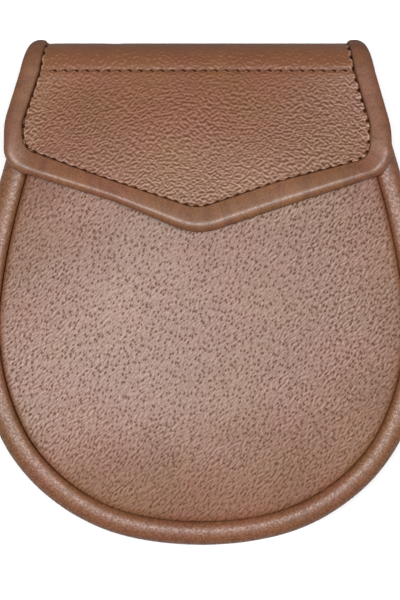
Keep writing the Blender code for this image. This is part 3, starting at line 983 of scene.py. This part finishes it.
# ---- Flap binding ----
# A strip of smooth leather folded round a thin cord and sewn under the flap's edge. Its ridge
# catches the light, and it is flatter between the ridge and the seam.
# Its section: part of the way from edge to seam, height above the flap's underside.
UNDER_CORD = ((0.9, -0.3), (0.70, 0.0), (0.40, 0.02), (0.17, 0.05))
IN_SEAM = (
    (0.995, 0.05), (1.03, -0.08), (1.18, -0.1), (1.22, -0.2), (1.18, -0.34), (1.05, -0.34), (0.9, -0.3),
)
RIDGED_SECTION = (
    *UNDER_CORD, (0.08, 0.4), (0.02, 1.0), (0.0, 1.7), (0.015, 2.4), (0.055, 3.0), (0.12, 3.5),
    (0.20, 3.88), (0.29, 4.08), (0.37, 4.06), (0.46, 3.88), (0.57, 3.61), (0.69, 3.28), (0.80, 2.92),
    (0.90, 2.55), (0.96, 2.32), (0.988, 2.08), (0.997, 1.6), *IN_SEAM,
)
LEVEL_SECTION = (  # the same along the flap's sides, where it lies flatter
    *UNDER_CORD, (0.07, 0.35), (0.01, 0.8), (0.0, 1.3), (0.03, 1.75), (0.08, 2.15), (0.15, 2.55),
    (0.23, 2.9), (0.32, 3.2), (0.42, 3.42), (0.52, 3.52), (0.62, 3.56), (0.72, 3.56), (0.82, 3.5),
    (0.91, 3.25), (0.965, 2.7), (0.985, 2.0), (0.995, 1.0), *IN_SEAM,
)
LEVEL_FROM = -34.0  # where along the flap the ridge starts to give way to the level section
LEVEL_BY = -20.0
FOLD_SWELL = 0.2  # how much thicker its outer half is where it is bent over the fold
BINDING_TIP = 1.6
BINDING_GIVE = 0.05
CORD_PART = 0.55  # the middle of its section, which its ends close in on
CORD_HEIGHT = 1.6


def smooth_section(section, parts):
    """The section with extra points on a smooth curve through its own."""
    points = [Vector(point) for point in section]
    loop = [points[-2], *points, points[1]]
    made = []
    for before, here, after, beyond in zip(loop, loop[1:], loop[2:], loop[3:]):
        for k in range(parts):
            t = k / parts
            slope = (after - before) * t
            bend = (2 * before - 5 * here + 4 * after - beyond) * t * t
            twist = (3 * here - before - 3 * after + beyond) * t ** 3
            made.append((2 * here + slope + bend + twist) / 2)
    return made + [points[-1]]


ridged = smooth_section(RIDGED_SECTION, 2)
level = smooth_section(LEVEL_SECTION, 2)
stations = [(edge, inner, 1.0) for edge, inner in zip(FLAP_EDGE, FLAP_SEAM)]
for end, nearer in ((0, 1), (-1, -2)):
    edge, inner, _ = stations[end]
    onward = (edge - stations[nearer][0]).normalized() * BINDING_TIP
    tips = [(edge + onward * along, inner + onward * along, part) for along, part in CAP[1:]]
    stations = tips[::-1] + stations if end == 0 else stations + tips
rows, flat = [], []
distance = 0.0
for k, (edge, inner, size) in enumerate(stations):
    flatter = eased(edge.y, LEVEL_FROM, LEVEL_BY)
    over_fold = ramp(edge.y, 0.0, FRONT_TURN)
    if k:
        distance += (inner - stations[k - 1][1]).length
    row, under = [], []
    for high, low in zip(ridged, level):
        point = high.lerp(low, flatter)
        swell = 1 + FOLD_SWELL * over_fold * (1 - point.x) ** 2
        part = CORD_PART + (point.x - CORD_PART) * size
        height = CORD_HEIGHT + (point.y * swell - CORD_HEIGHT) * size
        spot = edge.lerp(inner, part)
        if height > 0.5:
            height += BINDING_GIVE * noise.noise(Vector((distance / 6, part * 2, 0.0))) * size
        row.append(on_flap(spot.x, spot.y, height))
        under.append((distance, part * (edge - inner).length + height))
    rows.append(row)
    flat.append(under)


def binding_polish_and_shade(tree):
    """As the flap, it is polished round the point and dull up its sides. The same mask paints shade up
    its sides, through its grain's colour.
    """
    return graded(tree, along_axis(tree, on_object(tree), "Y"), 0.048, 0.068, 1.0, 0.0)


def binding_relief(tree):
    """Up its sides, where it isn't polished, its grain is made lower and so a little darker: painted
    shade.
    """
    unshaded_part = graded(tree, binding_polish_and_shade(tree), 0, 1, 0.62, 1.0)
    return product(tree, bent_relief(tree, 0.0006, 0.003, 0.3), unshaded_part), None


BINDING_LEATHER = leather(
    "binding leather", binding_relief, crease_tone_and_shade=(0.1054, 0.0383, 0.0177), crown_tone_and_light=(0.2334, 0.0954, 0.0456),
    depth=0.018, dull=0.56, polished=0.38, worn=binding_polish_and_shade, specular=0.4,
    finished=((0.0, 1.0, 0.6), (0.0, 0.58), 0.36),
)
flap_binding = closed_up(laid("flap_binding_leather", rows, flat))
flap_binding.data.materials.append(BINDING_LEATHER)
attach(flap_binding, "root")
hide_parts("flap_binding")


# ---- Stitches ----
# Dark brown waxed thread, sewn by machine at six stitches to the inch. Each stitch lies on the
# leather between two holes and is thicker at the end where the needle went in.
def thread_material():
    made, tree, shader = new_material("waxed thread")
    twist = clouds(tree, on_object(tree), 2600.0, 2.0)[0]
    colour = mixed(tree, twist, (0.016, 0.004, 0.0015), (0.045, 0.013, 0.004))
    tree.links.new(colour, shader.inputs["Base Color"])
    tree.links.new(graded(tree, twist, 0, 1, 0.75, 0.95), shader.inputs["Roughness"])
    shader.inputs["Specular IOR Level"].default_value = 0.08
    bump = node(tree, "Bump", {"Strength": 1.0, "Distance": 0.05 * MM, "Height": twist})
    tree.links.new(bump.outputs[0], shader.inputs["Normal"])
    return made


THREAD = thread_material()
STITCH_RISE = 0.34
STITCH_UNEVEN = 0.35  # how much their widths differ
STITCH_FILL = 0.98  # part of the way between its holes that a stitch takes up
LOOP_STITCH = 3.6
LOOP_BOXES = (("low", 15.8, 20.2), ("high", 51.8, 56.2))  # the end it is at, lower and upper y
LOOP_BOX_HALF = 7
FOLD_LINE = ((-60.35, 0.0), (60.05, 0.0))  # its ends on the flat flap
FOLD_LINE_SUNK = 0.26
TAIL_LINE = ((52, 36), (52, 51), (46.5, 56.5), (-46.5, 56.5), (-52, 51), (-52, 36))
DOUBLED_FROM = 0.6  # part of the way along where it starts to thicken
DOUBLED_BY = 0.75


def one_stitch(thin, slant):
    """A stitch one millimetre long, along X, standing on the XY plane. thin is its width between
    the holes, as part of its width where it is doubled in a hole, and slant is how far its thick
    end leans over, in widths."""
    bpy.ops.object.select_all(action="DESELECT")
    bpy.ops.mesh.primitive_uv_sphere_add(segments=6, ring_count=13, radius=0.5, rotation=(0, pi / 2, 0))
    bpy.ops.object.transform_apply(location=True, rotation=True, scale=True)
    made = bpy.context.object
    for vertex in made.data.vertices:
        along = vertex.co.x + 0.5
        round_end = (1 - min(abs(vertex.co.x) * 2, 1.0) ** 6) ** 0.5
        thick = eased(along, DOUBLED_FROM, DOUBLED_BY)
        width = (thin + (1 - thin) * thick) * round_end
        radius = max((vertex.co.y ** 2 + vertex.co.z ** 2) ** 0.5, 1e-6)
        vertex.co.y *= 0.5 * width / radius
        vertex.co.z *= 0.5 * width / radius
        fall = max(along - DOUBLED_FROM, 0.0) / (1 - DOUBLED_FROM)
        vertex.co.y += slant * (min(along / DOUBLED_FROM, 1.0) ** 2 - fall - 0.5)
    return made


def sewn(name, holes, up_at, width=0.9, thin=0.3, slant=0.0):
    """Stitches between neighbouring holes, none quite alike: up_at(k) is the leather's outward
    direction."""
    pattern = one_stitch(thin, slant)
    copies = []
    for k, (start, end) in enumerate(zip(holes, holes[1:])):
        run, up = end - start, up_at(k)
        side = up.cross(run).normalized()
        up = run.cross(side).normalized()
        stitch = pattern.copy()
        stitch.data = pattern.data.copy()
        turn = Matrix((run.normalized(), side, up)).transposed().to_4x4()
        wide = width * (1 + STITCH_UNEVEN * noise.noise(Vector((k * 0.61, 2.0, 0.0))))
        size = Matrix.Diagonal((run.length * STITCH_FILL, wide, STITCH_RISE * 2, 1.0))
        stitch.data.transform(Matrix.Scale(MM, 4) @ Matrix.Translation((start + end) / 2) @ turn @ size)
        bpy.context.collection.objects.link(stitch)
        copies.append(stitch)
    bpy.data.objects.remove(pattern, do_unlink=True)
    bpy.ops.object.select_all(action="DESELECT")
    for stitch in copies:
        stitch.select_set(True)
    bpy.context.view_layer.objects.active = copies[0]
    bpy.ops.object.join()
    thread = bpy.context.object
    thread.name = thread.data.name = name
    thread.data.materials.append(THREAD)
    bpy.ops.object.shade_smooth()
    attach(thread, "root")


SEAM_RUNS = (  # name, first and last stitch, in from the edge, height on the flap, width, thin part
    ("left", 0, 17, 0.38, 2.1, 0.95, 0.42),
    ("point", 16, -16, 0.22, 2.1, 0.95, 0.2),
    ("right", -17, None, 0.62, 2.1, 0.9, 0.2),
)


def flap_normal(x, along):
    here = Vector(on_flap(x, along, 0.0))
    return (Vector(on_flap(x, along, 1.0)) - here).normalized()


all_stops = evened(FLAP_SEAM, seam_length / SEAM_STITCHES)
for name, first, last, set_in, height, width, thin in SEAM_RUNS:
    stops = []
    for k in range(len(all_stops))[first:last]:
        run = all_stops[min(k + 1, len(all_stops) - 1)] - all_stops[max(k - 1, 0)]
        stops.append(all_stops[k] + Vector((-run.y, run.x)).normalized() * set_in)
    holes = [Vector(on_flap(stop.x, stop.y, height)) for stop in stops]
    sewn(f"seam_stitches_{name}", holes, lambda k: flap_normal(*stops[k]), width, thin)

fold_line = evened([Vector(spot) for spot in FOLD_LINE], STITCH)
holes = [Vector(on_flap(spot.x, spot.y, FLAP_THICKNESS - FOLD_LINE_SUNK)) for spot in fold_line]
sewn("fold_stitches", holes, lambda k: flap_normal(*fold_line[k]), width=1.0, thin=0.2, slant=0.75)

tail_line = evened([Vector(spot) for spot in TAIL_LINE], STITCH)
holes = [Vector(on_flap(spot.x, spot.y, FLAP_THICKNESS)) for spot in tail_line]
sewn("tail_stitches", holes, lambda k: flap_normal(*tail_line[k]))

for side_name, middle_x in (("left", LOOP_OUT), ("right", -LOOP_OUT)):
    left_x, right_x = middle_x - LOOP_BOX_HALF, middle_x + LOOP_BOX_HALF
    for end_name, low_y, high_y in LOOP_BOXES:
        box = ((left_x, low_y), (right_x, low_y), (right_x, high_y), (left_x, high_y), (left_x, low_y))
        box_line = evened([Vector(spot) for spot in box], LOOP_STITCH)
        holes = [Vector(on_loop(spot.x, spot.y, LOOP_WALL)) for spot in box_line]
        sewn(f"loop_stitches_{side_name}_{end_name}", holes, lambda k: Vector((0, 0, -1)))


# ---- Press stud ----
# A plain brass press stud between the flap's point and the front. It can't be seen with the
# flap closed.
def brass_material():
    made, tree, shader = new_material("dull brass")
    tarnish = clouds(tree, on_object(tree), 400.0, 5.0, 0.7)[0]
    colour = mixed(tree, tarnish, (0.30, 0.20, 0.09), (0.62, 0.47, 0.24))
    tree.links.new(colour, shader.inputs["Base Color"])
    tree.links.new(graded(tree, tarnish, 0.3, 0.7, 0.5, 0.25), shader.inputs["Roughness"])
    shader.inputs["Metallic"].default_value = 1.0
    return made


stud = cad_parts["snap_stud"]
stud.data.materials.clear()
stud.data.materials.append(brass_material())


# ---- Floor, light and camera ----
# A white table under one long softbox and a white ceiling. The camera looks straight down, as
# the photograph looks straight at the front.
def seen_as(tree, shader, seen):
    """The first shader, but the second where the camera looks straight at it."""
    direct = node(tree, "LightPath").outputs["Is Camera Ray"]
    return node(tree, "MixShader", {0: direct, 1: shader.outputs[0], 2: seen.outputs[0]}).outputs[0]


bpy.ops.object.select_all(action="DESELECT")
bpy.ops.mesh.primitive_plane_add(size=12.0)
floor = bpy.context.object
floor.name = "floor"
white = bpy.data.materials.new("white floor")
white.use_nodes = True
tree = white.node_tree
tree.nodes.clear()
paper = node(tree, "BsdfDiffuse", {"Color": (1.0, 1.0, 1.0, 1.0)})
bounced = node(tree, "BsdfDiffuse", {"Color": (0.4, 0.4, 0.4, 1.0)})  # black cards take up the rest
node(tree, "OutputMaterial", {"Surface": seen_as(tree, bounced, paper)})
floor.data.materials.append(white)
floor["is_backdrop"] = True

softbox = bpy.data.lights.new("softbox", "AREA")
softbox.shape = "RECTANGLE"
softbox.size = 2.0
softbox.size_y = 0.22
softbox.energy = 29.5
lamp = bpy.data.objects.new("softbox", softbox)
lamp.location = (-0.24, -0.02, 1.3)
lamp.rotation_euler = (0.0, 0.0, radians(12))
bpy.context.scene.collection.objects.link(lamp)

ceiling = bpy.data.lights.new("overhead", "SUN")
ceiling.angle = radians(60)
ceiling.energy = 0.8
overhead = bpy.data.objects.new("overhead", ceiling)
overhead.rotation_euler = (0.0, radians(25), 0.0)
bpy.context.scene.collection.objects.link(overhead)

world = bpy.data.worlds.new("studio")
world.use_nodes = True
tree = world.node_tree
tree.nodes.clear()
backdrop = node(tree, "Background", {"Color": (1.0, 1.0, 1.0, 1.0), "Strength": 1.0})
fill = node(tree, "Background", {"Color": (1.0, 1.0, 1.0, 1.0), "Strength": 0.14})
node(tree, "OutputWorld", {"Surface": seen_as(tree, fill, backdrop)})
bpy.context.scene.world = world
bpy.context.scene.view_settings.view_transform = "Standard"

PHOTO_CENTRE = (-0.5, -3.0)  # the middle of the photograph's frame on the pouch
PHOTO_HEIGHT = 240.0  # what the frame takes in from top to bottom
FRONT_Z = 35.0  # the height that the frame's size is measured at
CAMERA_DISTANCE = 1000.0
SENSOR = 36.0
view = bpy.data.cameras.new("camera")
view.sensor_width = SENSOR
view.lens = SENSOR * CAMERA_DISTANCE / PHOTO_HEIGHT
camera = bpy.data.objects.new("camera", view)
camera.location = Vector((*PHOTO_CENTRE, FRONT_Z + CAMERA_DISTANCE)) * MM
bpy.context.scene.collection.objects.link(camera)
bpy.context.scene.camera = camera

low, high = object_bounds()
